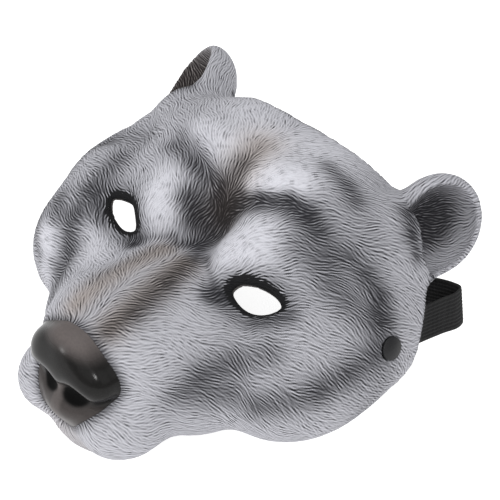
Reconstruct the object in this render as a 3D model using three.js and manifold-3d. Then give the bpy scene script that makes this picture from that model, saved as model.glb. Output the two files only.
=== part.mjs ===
// Bear half mask: one moulded foam shell with its ears and nose, an elastic strap and a rivet at each temple.
// Millimetres, +Z up. The mask stands on its own lower edge, nose towards -Y, the wearer's left towards +X.
import * as THREE from "three";
import Module from "manifold-3d";

const wasm = await Module();
wasm.setup();

// Turns rows of values into objects with named columns.
const table = (columns, rows) =>
  rows.map((row) => Object.fromEntries(columns.map((column, i) => [column, row[i]])));
const vec = (x, y, z) => new THREE.Vector3(x, y, z);
const degrees = THREE.MathUtils.degToRad;

// Main sizes.
const WALL = 3; // thickness of the moulded shell
const GAP = 0.3; // clearance between separate pieces
const SPOKES = 92; // facets round the shell's edge
const RINGS = 30; // facets from the nose tip to the edge
const INNER_STEP = 2; // the inside has one facet for this many outside
const HEART = vec(0, 8, 22); // the point inside the head that every surface ray leaves from
const NOSE_TIP = vec(0, -78, 45); // where the spokes meet
const MIDLINE_SOFTNESS = 3; // rounds the valley where the two halves of the face meet
const CORNER_STEP = 1e-4; // corners nearer to each other than this are one

// How the surface is looked for along a ray: from outside, in steps, then by halving the last step.
const SEARCH = { start: 190, step: 2, halvings: 24 };

// The side wall is looked for between these distances from the middle; slope is the reach of its normal.
const SIDE_SEARCH = { inside: 40, outside: 130, halvings: 40, slope: 2 };

// The block that cuts the lower edge level with the surface the mask stands on.
const GROUND = { size: 400, depth: 40 };

// The face is a blend of rounded masses. Rows off the midline stand on both sides.
const MASSES = table(
  ["name", "x", "y", "z", "rx", "ry", "rz", "pitch", "blend"],
  [
    ["skull", 0, 58, 27, 92, 58, 69, 0, 0],
    ["forehead", 27, 45, 64, 34, 30, 29, 0, 16],
    ["temple", 60, 31, 44, 33, 33, 27, 0, 12],
    ["ear_roll", 58, 59, 74, 10, 12, 8.5, 0, 12],
    ["cheekbone", 55, 10, 34, 36.5, 45, 31, 0, 14],
    ["jowl", 40, 25, 10, 37, 42, 40, 0, 10],
    ["lid_mound", 25, 9, 58, 22, 18, 17, 0, 8],
    ["bridge", 0, -26, 55, 15, 46, 13, -6, 12],
    ["muzzle", 0, -28, 34, 38, 46, 34, 0, 14],
    ["muzzle_root", 28, -26, 31, 25.5, 28, 26, 0, 10],
    ["muzzle_front", 14, -46, 46, 17, 22, 21, 0, 8],
    ["lip", 18.5, -59.2, 24, 19, 21, 15, 0, 8],
    ["lip_middle", 0, -60, 14, 18, 16.5, 14, 0, 8],
    ["lip_base", 0, -50, 6, 23, 18.5, 22, 0, 12],
  ],
);

// The nose is a smaller blend of its own, set on the front of the muzzle.
const NOSE_MASSES = table(
  ["name", "x", "y", "z", "rx", "ry", "rz", "pitch", "blend"],
  [
    ["nose", 0, -67, 43.5, 19.5, 12, 24, 0, 0],
    ["nose_wing", 12.5, -66.5, 49, 11, 10, 10, 0, 6],
    ["nose_low", 0, -68, 34, 16.5, 13, 16, 0, 6],
  ],
);
const NOSE_BLEND = 2.5;

// Low rises (height above zero) and hollows (below zero) on that blend, each a soft spot with its own reach.
const SPOTS = table(
  ["name", "x", "y", "z", "rx", "ry", "rz", "height"],
  [
    ["brow_valley", 0, 16, 76, 12, 16, 18, -4],
    ["lid_rise", 23, 10, 76, 13, 11, 10, 2.5],
    ["brow_rise", 24, 39, 95, 14, 7, 9, 2.5],
    ["cheek_rise", 60, -4, 54, 16, 16, 12, 2],
    ["eye_hollow", 40, 0, 61, 13, 9, 10, -4],
    ["cheek_hollow", 52, -26, 40, 14, 18, 12, -2],
    ["crown_side", 45, 78, 80, 16, 20, 16, -3],
    ["nostril", 8, -77, 41.5, 6.5, 9, 5.5, -6.5],
  ],
);

// Folds: soft grooves pressed in along straight runs; runs of one name make one fold.
const FOLDS = table(
  ["name", "x1", "y1", "z1", "x2", "y2", "z2", "width", "depth"],
  [
    ["brow_fold", 4, 17, 71, 11, 24, 83, 5, 3.5],
    ["brow_fold", 11, 24, 83, 28, 29, 89, 5, 4.5],
    ["brow_fold", 28, 29, 89, 44, 31, 86, 5, 4.5],
    ["brow_fold", 44, 31, 86, 64, 35, 76, 6, 3],
    ["lid_crease", 2, 13, 67, 8, 0, 69, 4.5, 2],
    ["lid_crease", 8, 0, 69, 20, -8, 67, 4.5, 2],
    ["lid_crease", 20, -8, 67, 29, -8, 64, 4.5, 2],
    ["temple_fold", 60, 28, 76, 83, 28, 63, 5, 2.5],
    ["muzzle_fold", 38, -50, 38, 64, -12, 56, 6, 2.5],
    ["cheek_fold", 68, -26, 36, 85, 4, 46, 6, 2.5],
    ["nostril_slit", 13, -76, 39, 24, -69, 43, 2.5, 2],
  ],
);

// The shell's edge, from the crown down one side to the middle of the lip; its back differs on the right.
const EDGE = table(
  ["name", "x", "y", "yRight", "z"],
  [
    ["crown", 0, 72, 72, 96],
    ["crown_side", 26, 74, 74, 93],
    ["ear_inner", 46, 79, 79, 78],
    ["ear_behind", 68, 76, 76, 66],
    ["ear_foot", 84, 60, 57, 60],
    ["strap_exit", 85, 40, 33, 42],
    ["jaw_back", 82, 36, 28, 24],
    ["heel", 79, 34, 26, -3],
    ["cheek_back", 74, 18, 14, -4],
    ["cheek_front", 60, -10, -10, -4],
    ["mouth_corner", 44, -33, -33, 6.2],
    ["lip_side", 31, -52, -52, 9],
    ["lip_front", 14, -62, -62, -4],
    ["lip_middle", 0, -66, -66, -4],
  ],
);

// Each ear is a dish: a rounded body cut by a plane, with a smaller rounded body scooped out.
const EAR = {
  centre: vec(71, 75.5, 73),
  faces: vec(0.58, -0.48, 0.66),
  up: vec(0.02, 0.8, 0.6),
  size: vec(19, 23, 18.5), // half width, half length and depth of the body
  lip: 5, // how far the cut plane lies in front of the centre
  hollowCentre: vec(2, -1, 6), // from the body's centre, in the ear's own frame
  hollowSize: vec(15.2, 20.5, 17),
  footLeft: 1, // how many times as long the half towards the foot is on each side
  footRight: 1.35,
  overcut: 1, // how far the hollow's cutter goes past the cut plane
  overlap: 1, // how far the root reaches into the pieces it joins
  block: 80, // size of the block that makes the cut
  segments: 20,
  bands: 9,
};

// Eye openings: almonds cut through the shell.
const EYE = {
  centre: vec(39.3, -0.8, 62),
  faces: vec(0, -0.5, 0.86),
  along: vec(0.93, 0.31, 0),
  halfLength: 11,
  halfHeight: 5.2,
  pinch: 0.42, // draws the corners of the almond to a point
  points: 20,
  reach: 30, // how far the cutter goes either side of the wall
};

// Rivet at each temple: a domed cap with a post outside, a plain disc inside.
const RIVET = {
  capRadius: 5,
  capEdge: 0.8,
  capRise: 1.2,
  seat: 1.2, // depth of the flat the cap is pressed into
  postRadius: 2,
  backRadius: 4.5,
  strapBow: 0.9, // how far the strap bows in under the disc's edge
  backThickness: 2,
  socket: 1.2, // how far the post enters the disc
  drillReach: 12, // how far the cutters of its holes go either side of the wall
  domeSteps: 5,
  segments: 20,
};

// The rivets are set by hand, so the two sides differ a little.
const RIVET_PLACES = table(
  ["side", "sign", "y", "z"],
  [
    ["left", 1, 23.5, 52.5],
    ["right", -1, 16, 46],
  ],
);

// The strap: woven elastic, one loop from temple to temple.
const STRAP = { width: 20, thickness: 1.5, wallClearance: 1.8, steps: 52, strands: 5 };

// Inside the shell the strap follows the wall, at these distances back and up from its rivet.
const STRAP_INSIDE = table(
  ["name", "back", "up"],
  [
    ["end", -11, 4],
    ["rivet", 0, 0],
    ["by_edge", 12, -5],
  ],
);

// Behind the shell it runs free; lean is the tilt of its top edge towards the middle.
const STRAP_BEHIND = table(
  ["name", "x", "y", "z", "lean"],
  [
    ["past_edge", 83, 54, 36, 6],
    ["side", 86, 67, 34.5, 8],
    ["fold_start", 88, 76, 33, 10],
    ["fold", 87, 80, 33, 10],
    ["fold_end", 82, 79.5, 33, 8],
    ["back_turn", 70, 76, 32, 4],
    ["back_side", 44, 74, 28, 0],
    ["back_middle", 0, 73, 26, 0],
  ],
);

// The middle of the whole mask from front to back, which becomes the origin.
const MIDDLE_Y = 7.87;

// Signed distance to an ellipsoid, close to true near its surface.
function massDistance(mass, point) {
  const local = point.clone().sub(vec(mass.x, mass.y, mass.z));
  local.applyEuler(new THREE.Euler(-degrees(mass.pitch), 0, 0));
  const scaled = Math.hypot(local.x / mass.rx, local.y / mass.ry, local.z / mass.rz);
  const slope = Math.hypot(local.x / mass.rx ** 2, local.y / mass.ry ** 2, local.z / mass.rz ** 2);
  return slope === 0 ? -mass.rx : (scaled * (scaled - 1)) / slope;
}

// Joins two distances with a fillet of about the given width.
function blended(a, b, width) {
  if (width === 0) return Math.min(a, b);
  const h = Math.max(width - Math.abs(a - b), 0) / width;
  return Math.min(a, b) - (h * h * width) / 4;
}

// Signed distance to a blend of masses; side is the point with both halves of the face laid on one.
function massesDistance(masses, point, side) {
  let distance = Infinity;
  for (const mass of masses) {
    const own = massDistance(mass, mass.x === 0 ? point : side);
    distance = distance === Infinity ? own : blended(distance, own, mass.blend);
  }
  return distance;
}

// Signed distance to the face's outside.
function faceDistance(point) {
  const side = vec(Math.hypot(point.x, MIDLINE_SOFTNESS), point.y, point.z);
  const head = massesDistance(MASSES, point, side);
  let distance = blended(head, massesDistance(NOSE_MASSES, point, side), NOSE_BLEND);
  for (const spot of SPOTS) {
    const from = spot.x === 0 ? point : side;
    const reach = ((from.x - spot.x) / spot.rx) ** 2 + ((from.y - spot.y) / spot.ry) ** 2
      + ((from.z - spot.z) / spot.rz) ** 2;
    distance -= spot.height * Math.exp(-reach);
  }
  for (const name of new Set(FOLDS.map((fold) => fold.name))) {
    const runs = FOLDS.filter((fold) => fold.name === name);
    distance += runs.reduce((sum, run) => sum + foldDepth(run, side) ** 4, 0) ** 0.25;
  }
  return distance;
}

// How deep a fold's run presses in at a point.
function foldDepth(run, point) {
  const line = new THREE.Line3(vec(run.x1, run.y1, run.z1), vec(run.x2, run.y2, run.z2));
  const nearest = line.closestPointToPoint(point, true, vec());
  return run.depth * Math.exp(-((point.distanceTo(nearest) / run.width) ** 2));
}

// The outermost place along a ray from the heart where the face lies at the given distance.
function surfacePoint(direction, depth) {
  const at = (r) => faceDistance(HEART.clone().addScaledVector(direction, r)) + depth;
  let far = SEARCH.start;
  while (far > SEARCH.step && at(far) > 0) far -= SEARCH.step;
  let near = far;
  far += SEARCH.step;
  for (let i = 0; i < SEARCH.halvings; i += 1) {
    const middle = (near + far) / 2;
    if (at(middle) > 0) far = middle;
    else near = middle;
  }
  return HEART.clone().addScaledVector(direction, near);
}

// Evenly spaced places along one half of the edge.
function halfEdge(place) {
  const half = new THREE.CatmullRomCurve3(EDGE.map(place)).getSpacedPoints(SPOKES / 2);
  half[0].x = 0;
  half[SPOKES / 2].x = 0;
  return half;
}

// Directions from the heart to the edge, down the left side and up the right.
function edgeDirections() {
  const left = halfEdge((row) => vec(row.x, row.y, row.z));
  const right = halfEdge((row) => vec(-row.x, row.yRight, row.z));
  return [...left, ...right.slice(1, -1).reverse()].map((p) => p.sub(HEART).normalize());
}

const POLE = NOSE_TIP.clone().sub(HEART).normalize();
const EDGE_DIRECTIONS = edgeDirections();

// The direction of a spoke at a share of the way from the nose tip to the edge.
function spokeDirection(spoke, share) {
  const edge = EDGE_DIRECTIONS[spoke % SPOKES];
  const angle = POLE.angleTo(edge);
  const from = Math.sin((1 - share) * angle) / Math.sin(angle);
  const to = Math.sin(share * angle) / Math.sin(angle);
  return POLE.clone().multiplyScalar(from).addScaledVector(edge, to).normalize();
}

// Points of one skin of the shell, nose tip first, then ring by ring.
function skin(depth, step) {
  const points = [surfacePoint(POLE, depth)];
  for (let ring = step; ring <= RINGS; ring += step) {
    for (let spoke = 0; spoke < SPOKES; spoke += step) {
      points.push(surfacePoint(spokeDirection(spoke, ring / RINGS), depth));
    }
  }
  return { points, rings: RINGS / step, spokes: SPOKES / step };
}

// Triangles of one skin; flip turns them to face inwards.
function skinFaces({ rings, spokes }, offset, flip) {
  const at = (ring, spoke) => offset + (ring === 0 ? 0 : 1 + (ring - 1) * spokes + (spoke % spokes));
  const faces = [];
  for (let ring = 0; ring < rings; ring += 1) {
    for (let spoke = 0; spoke < spokes; spoke += 1) {
      const [a, b] = [at(ring, spoke), at(ring, spoke + 1)];
      const [c, d] = [at(ring + 1, spoke), at(ring + 1, spoke + 1)];
      faces.push([a, c, d]);
      if (ring > 0) faces.push([a, d, b]);
    }
  }
  return flip ? faces.map(([a, b, c]) => [a, c, b]) : faces;
}

// The whole head as one solid: a skin just under the outside, closed to a point inside.
function headBody() {
  const outer = skin(EAR.overlap, INNER_STEP);
  const heart = outer.points.length;
  const edge = (spoke) => 1 + (outer.rings - 1) * outer.spokes + (spoke % outer.spokes);
  const faces = skinFaces(outer, 0, true);
  for (let spoke = 0; spoke < outer.spokes; spoke += 1) faces.push([edge(spoke), edge(spoke + 1), heart]);
  return solid([...outer.points, HEART], faces);
}

// The moulded wall: an outside skin, a coarser inside skin, and the edge that joins them.
function shellBody() {
  const outer = skin(0, 1);
  const inner = skin(WALL, INNER_STEP);
  const offset = outer.points.length;
  const faces = [...skinFaces(outer, 0, true), ...skinFaces(inner, offset, false)];
  const outerEdge = (spoke) => 1 + (outer.rings - 1) * outer.spokes + (spoke % outer.spokes);
  const innerEdge = (spoke) => offset + 1 + (inner.rings - 1) * inner.spokes + (spoke % inner.spokes);
  for (let spoke = 0; spoke < inner.spokes; spoke += 1) {
    const [a, b] = [innerEdge(spoke), innerEdge(spoke + 1)];
    const own = Array.from({ length: INNER_STEP + 1 }, (_, i) => outerEdge(spoke * INNER_STEP + i));
    for (let i = 0; i < INNER_STEP; i += 1) faces.push([own[i], own[i + 1], a]);
    faces.push([own[INNER_STEP], b, a]);
  }
  return solid([...outer.points, ...inner.points], faces);
}

// A manifold body from shared points and triangles.
function solid(points, faces) {
  const vertProperties = new Float32Array(points.flatMap((p) => [p.x, p.y, p.z]));
  const triVerts = new Uint32Array(faces.flat());
  return new wasm.Manifold(new wasm.Mesh({ numProp: 3, vertProperties, triVerts }));
}

// A manifold body from a three.js geometry, with its doubled corners joined.
function bodyOf(geometry) {
  const position = geometry.getAttribute("position");
  const order = geometry.index ? Array.from(geometry.index.array) : [...Array(position.count).keys()];
  const found = new Map();
  const points = [];
  const shared = order.map((i) => {
    const p = vec().fromBufferAttribute(position, i);
    const key = [p.x, p.y, p.z].map((v) => Math.round(v / CORNER_STEP)).join();
    if (!found.has(key)) {
      found.set(key, points.length);
      points.push(p);
    }
    return found.get(key);
  });
  const faces = [];
  for (let i = 0; i < shared.length; i += 3) {
    const face = shared.slice(i, i + 3);
    if (new Set(face).size === 3) faces.push(face);
  }
  return solid(points, faces);
}

// A frame with its third axis along "faces" and its second as near "up" as it can be.
function frame(origin, faces, up) {
  const z = faces.clone().normalize();
  const x = up.clone().cross(z).normalize();
  const y = z.clone().cross(x);
  return new THREE.Matrix4().makeBasis(x, y, z).setPosition(origin);
}

const onLeft = (geometry) => geometry;
const MIRROR = new THREE.Matrix4().makeScale(-1, 1, 1);

// The same geometry on the wearer's right, with its faces still turned outwards.
function onRight(geometry) {
  const copy = geometry.clone().applyMatrix4(MIRROR);
  const flat = copy.index ? copy.toNonIndexed() : copy;
  const p = flat.getAttribute("position");
  for (let i = 0; i < p.count; i += 3) {
    const [b, c] = [vec().fromBufferAttribute(p, i + 1), vec().fromBufferAttribute(p, i + 2)];
    p.setXYZ(i + 1, c.x, c.y, c.z);
    p.setXYZ(i + 2, b.x, b.y, b.z);
  }
  return flat;
}

// An ellipsoid in an ear's frame, with the half towards the ear's foot made longer.
function ellipsoid(size, centre, foot, place) {
  const ball = new THREE.SphereGeometry(1, EAR.segments, EAR.bands).scale(size.x, size.y, size.z);
  ball.translate(centre.x, centre.y, centre.z);
  const p = ball.getAttribute("position");
  for (let i = 0; i < p.count; i += 1) p.setY(i, p.getY(i) * (p.getY(i) < 0 ? foot : 1));
  return ball.applyMatrix4(place);
}

// The block in front of an ear, from the given distance before its centre.
function earCover(from, place) {
  const block = new THREE.BoxGeometry(EAR.block, EAR.block, EAR.block);
  return block.translate(0, 0, from + EAR.block / 2).applyMatrix4(place);
}

// The wall with an ear added on one side: a cut body that fills the root under the face, then its hollow.
function withEar(shell, head, side, foot) {
  const place = frame(EAR.centre, EAR.faces, EAR.up);
  const body = bodyOf(side(ellipsoid(EAR.size, vec(), foot, place)));
  const front = bodyOf(side(earCover(EAR.lip, place)));
  const root = body.intersect(bodyOf(side(earCover(EAR.lip - EAR.overlap, place)))).intersect(head);
  const hollow = bodyOf(side(ellipsoid(EAR.hollowSize, EAR.hollowCentre, foot, place)));
  const scoop = hollow.subtract(bodyOf(side(earCover(EAR.lip + EAR.overcut, place))));
  return shell.add(body.subtract(front)).add(root).subtract(scoop);
}

// An almond prism through the wall.
function eyeGeometry() {
  const x = EYE.along.clone().normalize();
  const place = frame(EYE.centre, EYE.faces, EYE.faces.clone().cross(x));
  const outline = new THREE.Shape();
  for (let i = 0; i < EYE.points; i += 1) {
    const turn = (2 * Math.PI * i) / EYE.points;
    const across = EYE.halfLength * Math.cos(turn);
    const height = EYE.halfHeight * Math.sin(turn) * Math.abs(Math.sin(turn)) ** EYE.pinch;
    if (i === 0) outline.moveTo(across, height);
    else outline.lineTo(across, height);
  }
  const prism = new THREE.ExtrudeGeometry(outline, { depth: 2 * EYE.reach, bevelEnabled: false });
  return prism.translate(0, 0, -EYE.reach).applyMatrix4(place);
}

// The wall with its ears, eye holes, rivet seats and level lower edge.
function maskShell() {
  let shell = shellBody();
  const head = headBody();
  shell = withEar(shell, head, onLeft, EAR.footLeft);
  shell = withEar(shell, head, onRight, EAR.footRight);
  for (const side of [onLeft, onRight]) shell = shell.subtract(bodyOf(side(eyeGeometry())));
  for (const place of RIVET_PLACES) {
    shell = shell.subtract(rod(RIVET.capRadius + GAP, -RIVET.seat, RIVET.drillReach, place));
    shell = shell.subtract(rod(RIVET.postRadius + GAP, -RIVET.drillReach, RIVET.drillReach, place));
  }
  const ground = new THREE.BoxGeometry(GROUND.size, GROUND.size, GROUND.depth);
  return shell.subtract(bodyOf(ground.translate(0, 0, -GROUND.depth / 2)));
}

// A place on one side wall and its outward normal, for a given distance back and height.
function wallPlace(sign, y, z) {
  let { inside, outside } = SIDE_SEARCH;
  for (let i = 0; i < SIDE_SEARCH.halvings; i += 1) {
    const x = (inside + outside) / 2;
    if (faceDistance(vec(sign * x, y, z)) > 0) outside = x;
    else inside = x;
  }
  const point = vec(sign * inside, y, z);
  const slope = (axis) => {
    const step = vec().setComponent(axis, SIDE_SEARCH.slope);
    return faceDistance(point.clone().add(step)) - faceDistance(point.clone().sub(step));
  };
  return { point, normal: vec(slope(0), slope(1), slope(2)).normalize() };
}

// Distance from the wall's outside to the middle of the strap's thickness.
const STRAP_DEPTH = WALL + STRAP.wallClearance + STRAP.thickness / 2;

// Where a rivet's axis leaves the wall, with Z along the axis.
function rivetFrame({ sign, y, z }) {
  const { point, normal } = wallPlace(sign, y, z);
  return frame(point, normal, vec(0, 0, 1));
}

// Places across the strap's width, measured from its middle.
const STRANDS = Array.from(
  { length: STRAP.strands },
  (_, i) => STRAP.width * (i / (STRAP.strands - 1) - 0.5),
);

// One half of the strap as stations, each a row of points across its width.
function strapHalf({ sign, y, z }) {
  const inside = STRAP_INSIDE.map(({ back, up }) => {
    const upright = Math.abs(wallPlace(sign, y + back, z + up).normal.x);
    return STRANDS.map((across) => {
      const { point, normal } = wallPlace(sign, y + back, z + up + across * upright);
      return point.addScaledVector(normal, -STRAP_DEPTH);
    });
  });
  const behind = STRAP_BEHIND.map((row) => {
    const width = vec(-sign * Math.sin(degrees(row.lean)), 0, Math.cos(degrees(row.lean)));
    return STRANDS.map((across) => vec(sign * row.x, row.y, row.z).addScaledVector(width, across));
  });
  return [...inside, ...behind];
}

// A thin band swept through the stations.
function strapBody() {
  const [leftHalf, rightHalf] = RIVET_PLACES.map(strapHalf);
  const stations = [...leftHalf, ...rightHalf.reverse().slice(1)];
  const curves = STRANDS.map((_, i) => new THREE.CatmullRomCurve3(stations.map((row) => row[i])));
  const count = STRAP.strands;
  const points = [];
  const faces = [];
  for (let step = 0; step <= STRAP.steps; step += 1) {
    const share = step / STRAP.steps;
    const row = curves.map((curve) => curve.getPoint(share));
    const through = row.map((_, i) => {
      const across = row[Math.min(i + 1, count - 1)].clone().sub(row[Math.max(i - 1, 0)]);
      return curves[i].getTangent(share).cross(across).setLength(STRAP.thickness / 2);
    });
    points.push(...row.map((p, i) => p.clone().sub(through[i])));
    points.push(...row.map((p, i) => p.clone().add(through[i])).reverse());
  }
  const round = 2 * count;
  for (let step = 0; step < STRAP.steps; step += 1) {
    for (let k = 0; k < round; k += 1) {
      const [a, b] = [round * step + k, round * step + ((k + 1) % round)];
      faces.push([a, b, b + round], [a, b + round, a + round]);
    }
  }
  const last = round * STRAP.steps;
  for (let k = 0; k < count - 1; k += 1) {
    const [a, b, c, d] = [k, k + 1, round - 2 - k, round - 1 - k];
    faces.push([a, c, b], [a, d, c], [last + a, last + b, last + c], [last + a, last + c, last + d]);
  }
  return solid(points, faces);
}

// A turned body from radius and height pairs along a rivet's axis.
function turned(profile, place) {
  const lathe = new THREE.LatheGeometry(profile.map(([r, h]) => new THREE.Vector2(r, h)), RIVET.segments);
  return bodyOf(lathe.rotateX(Math.PI / 2).applyMatrix4(rivetFrame(place)));
}

// A plain round bar along a rivet's axis.
function rod(radius, bottom, top, place) {
  return turned([[0, bottom], [radius, bottom], [radius, top], [0, top]], place);
}

// Heights along the rivet's axis, measured out from the wall's outside.
const STRAP_INNER_FACE = -STRAP_DEPTH - STRAP.thickness / 2;
const BACK_TOP = STRAP_INNER_FACE - RIVET.strapBow - GAP;
const POST_END = BACK_TOP - RIVET.socket;
const CAP_BASE = GAP - RIVET.seat;

// The cap outside the wall, with the post that goes through wall and strap.
function rivetCap(place) {
  const shoulder = CAP_BASE + RIVET.capEdge;
  const dome = Array.from({ length: RIVET.domeSteps - 1 }, (_, i) => {
    const turn = (Math.PI / 2) * ((i + 1) / RIVET.domeSteps);
    return [RIVET.capRadius * Math.cos(turn), shoulder + RIVET.capRise * Math.sin(turn)];
  });
  return turned([
    [0, POST_END],
    [RIVET.postRadius, POST_END],
    [RIVET.postRadius, CAP_BASE],
    [RIVET.capRadius, CAP_BASE],
    [RIVET.capRadius, shoulder],
    ...dome,
    [0, shoulder + RIVET.capRise],
  ], place);
}

// The disc inside the strap, with a socket for the post's end.
function rivetBack(place) {
  const socketEnd = POST_END - GAP;
  const bottom = BACK_TOP - RIVET.backThickness;
  return turned([
    [0, bottom],
    [RIVET.backRadius, bottom],
    [RIVET.backRadius, BACK_TOP],
    [RIVET.postRadius + GAP, BACK_TOP],
    [RIVET.postRadius + GAP, socketEnd],
    [0, socketEnd],
  ], place);
}

// The band with a hole for each post.
function elasticStrap() {
  let strap = strapBody();
  for (const place of RIVET_PLACES) {
    strap = strap.subtract(rod(RIVET.postRadius + GAP, -RIVET.drillReach, RIVET.drillReach, place));
  }
  return strap;
}

// A named mesh from a manifold body.
function meshOf(name, body, material) {
  const { numProp, vertProperties, triVerts } = body.getMesh();
  const positions = [];
  for (const v of triVerts) {
    positions.push(...vertProperties.slice(v * numProp, v * numProp + 3));
  }
  const geometry = new THREE.BufferGeometry();
  geometry.setAttribute("position", new THREE.Float32BufferAttribute(positions, 3));
  geometry.computeVertexNormals();
  const mesh = new THREE.Mesh(geometry, material);
  mesh.name = name;
  return mesh;
}

const foam = new THREE.MeshStandardMaterial({ color: 0xb4b4bc, roughness: 0.8 });
const elastic = new THREE.MeshStandardMaterial({ color: 0x161616, roughness: 0.9 });
const plastic = new THREE.MeshStandardMaterial({ color: 0x26282c, roughness: 0.4 });

const mask = new THREE.Group();
mask.name = "bear_mask";
mask.add(meshOf("mask_shell", maskShell(), foam));
mask.add(meshOf("elastic_strap", elasticStrap(), elastic));
for (const place of RIVET_PLACES) {
  mask.add(meshOf(`rivet_cap_${place.side}`, rivetCap(place), plastic));
  mask.add(meshOf(`rivet_back_${place.side}`, rivetBack(place), plastic));
}
mask.position.y = -MIDDLE_Y;

export default mask;
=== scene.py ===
# Looks of the bear mask: a finely modelled shell with painted fur relief, a ribbed strap and satin rivets.
import math

import bpy
import numpy as np
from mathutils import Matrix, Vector, kdtree


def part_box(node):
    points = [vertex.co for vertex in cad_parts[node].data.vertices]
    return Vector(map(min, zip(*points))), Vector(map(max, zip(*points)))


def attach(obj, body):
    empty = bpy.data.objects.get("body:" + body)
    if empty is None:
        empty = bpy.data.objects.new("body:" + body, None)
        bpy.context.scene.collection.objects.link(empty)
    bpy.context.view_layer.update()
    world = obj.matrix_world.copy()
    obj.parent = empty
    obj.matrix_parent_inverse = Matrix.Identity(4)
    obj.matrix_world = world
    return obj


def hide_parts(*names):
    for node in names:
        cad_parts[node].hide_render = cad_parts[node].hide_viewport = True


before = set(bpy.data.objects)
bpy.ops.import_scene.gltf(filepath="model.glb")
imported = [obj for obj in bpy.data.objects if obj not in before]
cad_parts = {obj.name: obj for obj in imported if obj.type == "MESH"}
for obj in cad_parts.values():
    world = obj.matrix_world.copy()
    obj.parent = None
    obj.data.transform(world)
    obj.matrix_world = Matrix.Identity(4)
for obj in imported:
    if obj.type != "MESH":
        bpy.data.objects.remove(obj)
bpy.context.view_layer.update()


def table(columns, *rows):
    """Rows of values as dictionaries with named columns."""
    names = columns.split()
    return [dict(zip(names, row)) for row in rows]


# Sizes are in millimetres in the sculptor's frame: +Z up, nose towards -Y, the wearer's left towards +X.
# MIDDLE_Y moves that frame's Y to the part's own, whose origin is the middle of its box.
MM = 0.001
MIDDLE_Y = 7.87
WALL = 3.0
VOXEL = 1.15  # spacing of the grid the shell is meshed on
MARGIN = 4.0  # empty space round the shell in that grid
SNAPS = 2  # times the mesh's points are drawn onto the surface
SNAP_STEP = 0.2  # spacing of the samples that give the surface's slope
SNAP_MOST = VOXEL / 3  # most that a point moves each time
TRIANGLES = 190_000  # most triangles the shell may have; the inside is thinned out to reach it
THIN_CLEAR = 2.0  # the thinning stays this far from the ears
SEED = 11

HEART = np.array([0.0, 8.0, 22.0])  # the point inside the head that the edge is seen from
NOSE_TIP = np.array([0.0, -78.0, 45.0])
MIDLINE_SOFTNESS = 3.0
WALL_SEARCH = (40.0, 130.0)  # a side wall lies between these distances from the midline
HALVINGS = 30  # steps of that search
NORMAL_STEP = 2.0  # spacing of the samples that give a wall's normal
FILLETS = {"wall": 0.8, "edge": 1.2, "ear_hollow": 1.6, "eye": 1.2, "rivet": 0.4, "floor": 0.5}

# The face is a blend of rounded masses. Rows off the midline stand on both sides.
MASSES = table(
    "name x y z rx ry rz pitch blend",
    ("skull", 0, 58, 27, 92, 58, 69, 0, 0),
    ("forehead", 27, 45, 64, 34, 30, 29, 0, 16),
    ("temple", 60, 31, 44, 33, 33, 27, 0, 12),
    ("ear_roll", 58, 59, 74, 10, 12, 8.5, 0, 12),
    ("cheekbone", 55, 10, 34, 36.5, 45, 31, 0, 14),
    ("jowl", 40, 25, 10, 37, 42, 40, 0, 10),
    ("lid_mound", 25, 9, 58, 22, 18, 17, 0, 8),
    ("bridge", 0, -26, 55, 15, 46, 13, -6, 12),
    ("muzzle", 0, -28, 34, 38, 46, 34, 0, 14),
    ("muzzle_root", 28, -26, 31, 25.5, 28, 26, 0, 10),
    ("muzzle_front", 14, -46, 46, 17, 22, 21, 0, 8),
    ("lip", 18.5, -59.2, 24, 19, 21, 15, 0, 8),
    ("lip_middle", 0, -60, 14, 18, 16.5, 14, 0, 8),
    ("lip_base", 0, -50, 6, 23, 18.5, 22, 0, 12),
)
NOSE_MASSES = table(
    "name x y z rx ry rz pitch blend",
    ("nose", 0, -67, 43.5, 19.5, 12, 24, 0, 0),
    ("nose_wing", 12.5, -66.5, 49, 11, 10, 10, 0, 6),
    ("nose_low", 0, -68, 34, 16.5, 13, 16, 0, 6),
)
NOSE_BLEND = 2.5

# Low rises (height above zero) and hollows (below zero), each a soft spot with its own reach.
SPOTS = table(
    "name x y z rx ry rz height",
    ("brow_valley", 0, 16, 76, 12, 16, 18, -4),
    ("lid_rise", 23, 10, 76, 13, 11, 10, 2.5),
    ("brow_rise", 24, 39, 95, 14, 7, 9, 2.5),
    ("cheek_rise", 60, -4, 54, 16, 16, 12, 2),
    ("eye_hollow", 40, 0, 61, 13, 9, 10, -4),
    ("cheek_hollow", 52, -26, 40, 14, 18, 12, -2),
    ("crown_side", 45, 78, 80, 16, 20, 16, -3),
    ("nostril", 8, -77, 41.5, 6.5, 9, 5.5, -6.5),
)

# Grooves pressed in along straight runs; runs of one name make one fold.
FOLDS = table(
    "name x1 y1 z1 x2 y2 z2 width depth",
    ("brow_fold", 4, 17, 71, 11, 24, 83, 5, 3.5),
    ("brow_fold", 11, 24, 83, 28, 29, 89, 5, 4.5),
    ("brow_fold", 28, 29, 89, 44, 31, 86, 5, 4.5),
    ("brow_fold", 44, 31, 86, 64, 35, 76, 6, 3),
    ("lid_crease", 2, 13, 67, 8, 0, 69, 4.5, 2),
    ("lid_crease", 8, 0, 69, 20, -8, 67, 4.5, 2),
    ("lid_crease", 20, -8, 67, 29, -8, 64, 4.5, 2),
    ("temple_fold", 60, 28, 76, 83, 28, 63, 5, 2.5),
    ("muzzle_fold", 38, -50, 38, 64, -12, 56, 6, 2.5),
    ("cheek_fold", 68, -26, 36, 85, 4, 46, 6, 2.5),
    ("nostril_slit", 13, -76, 39, 24, -69, 43, 2.5, 2),
)

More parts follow.
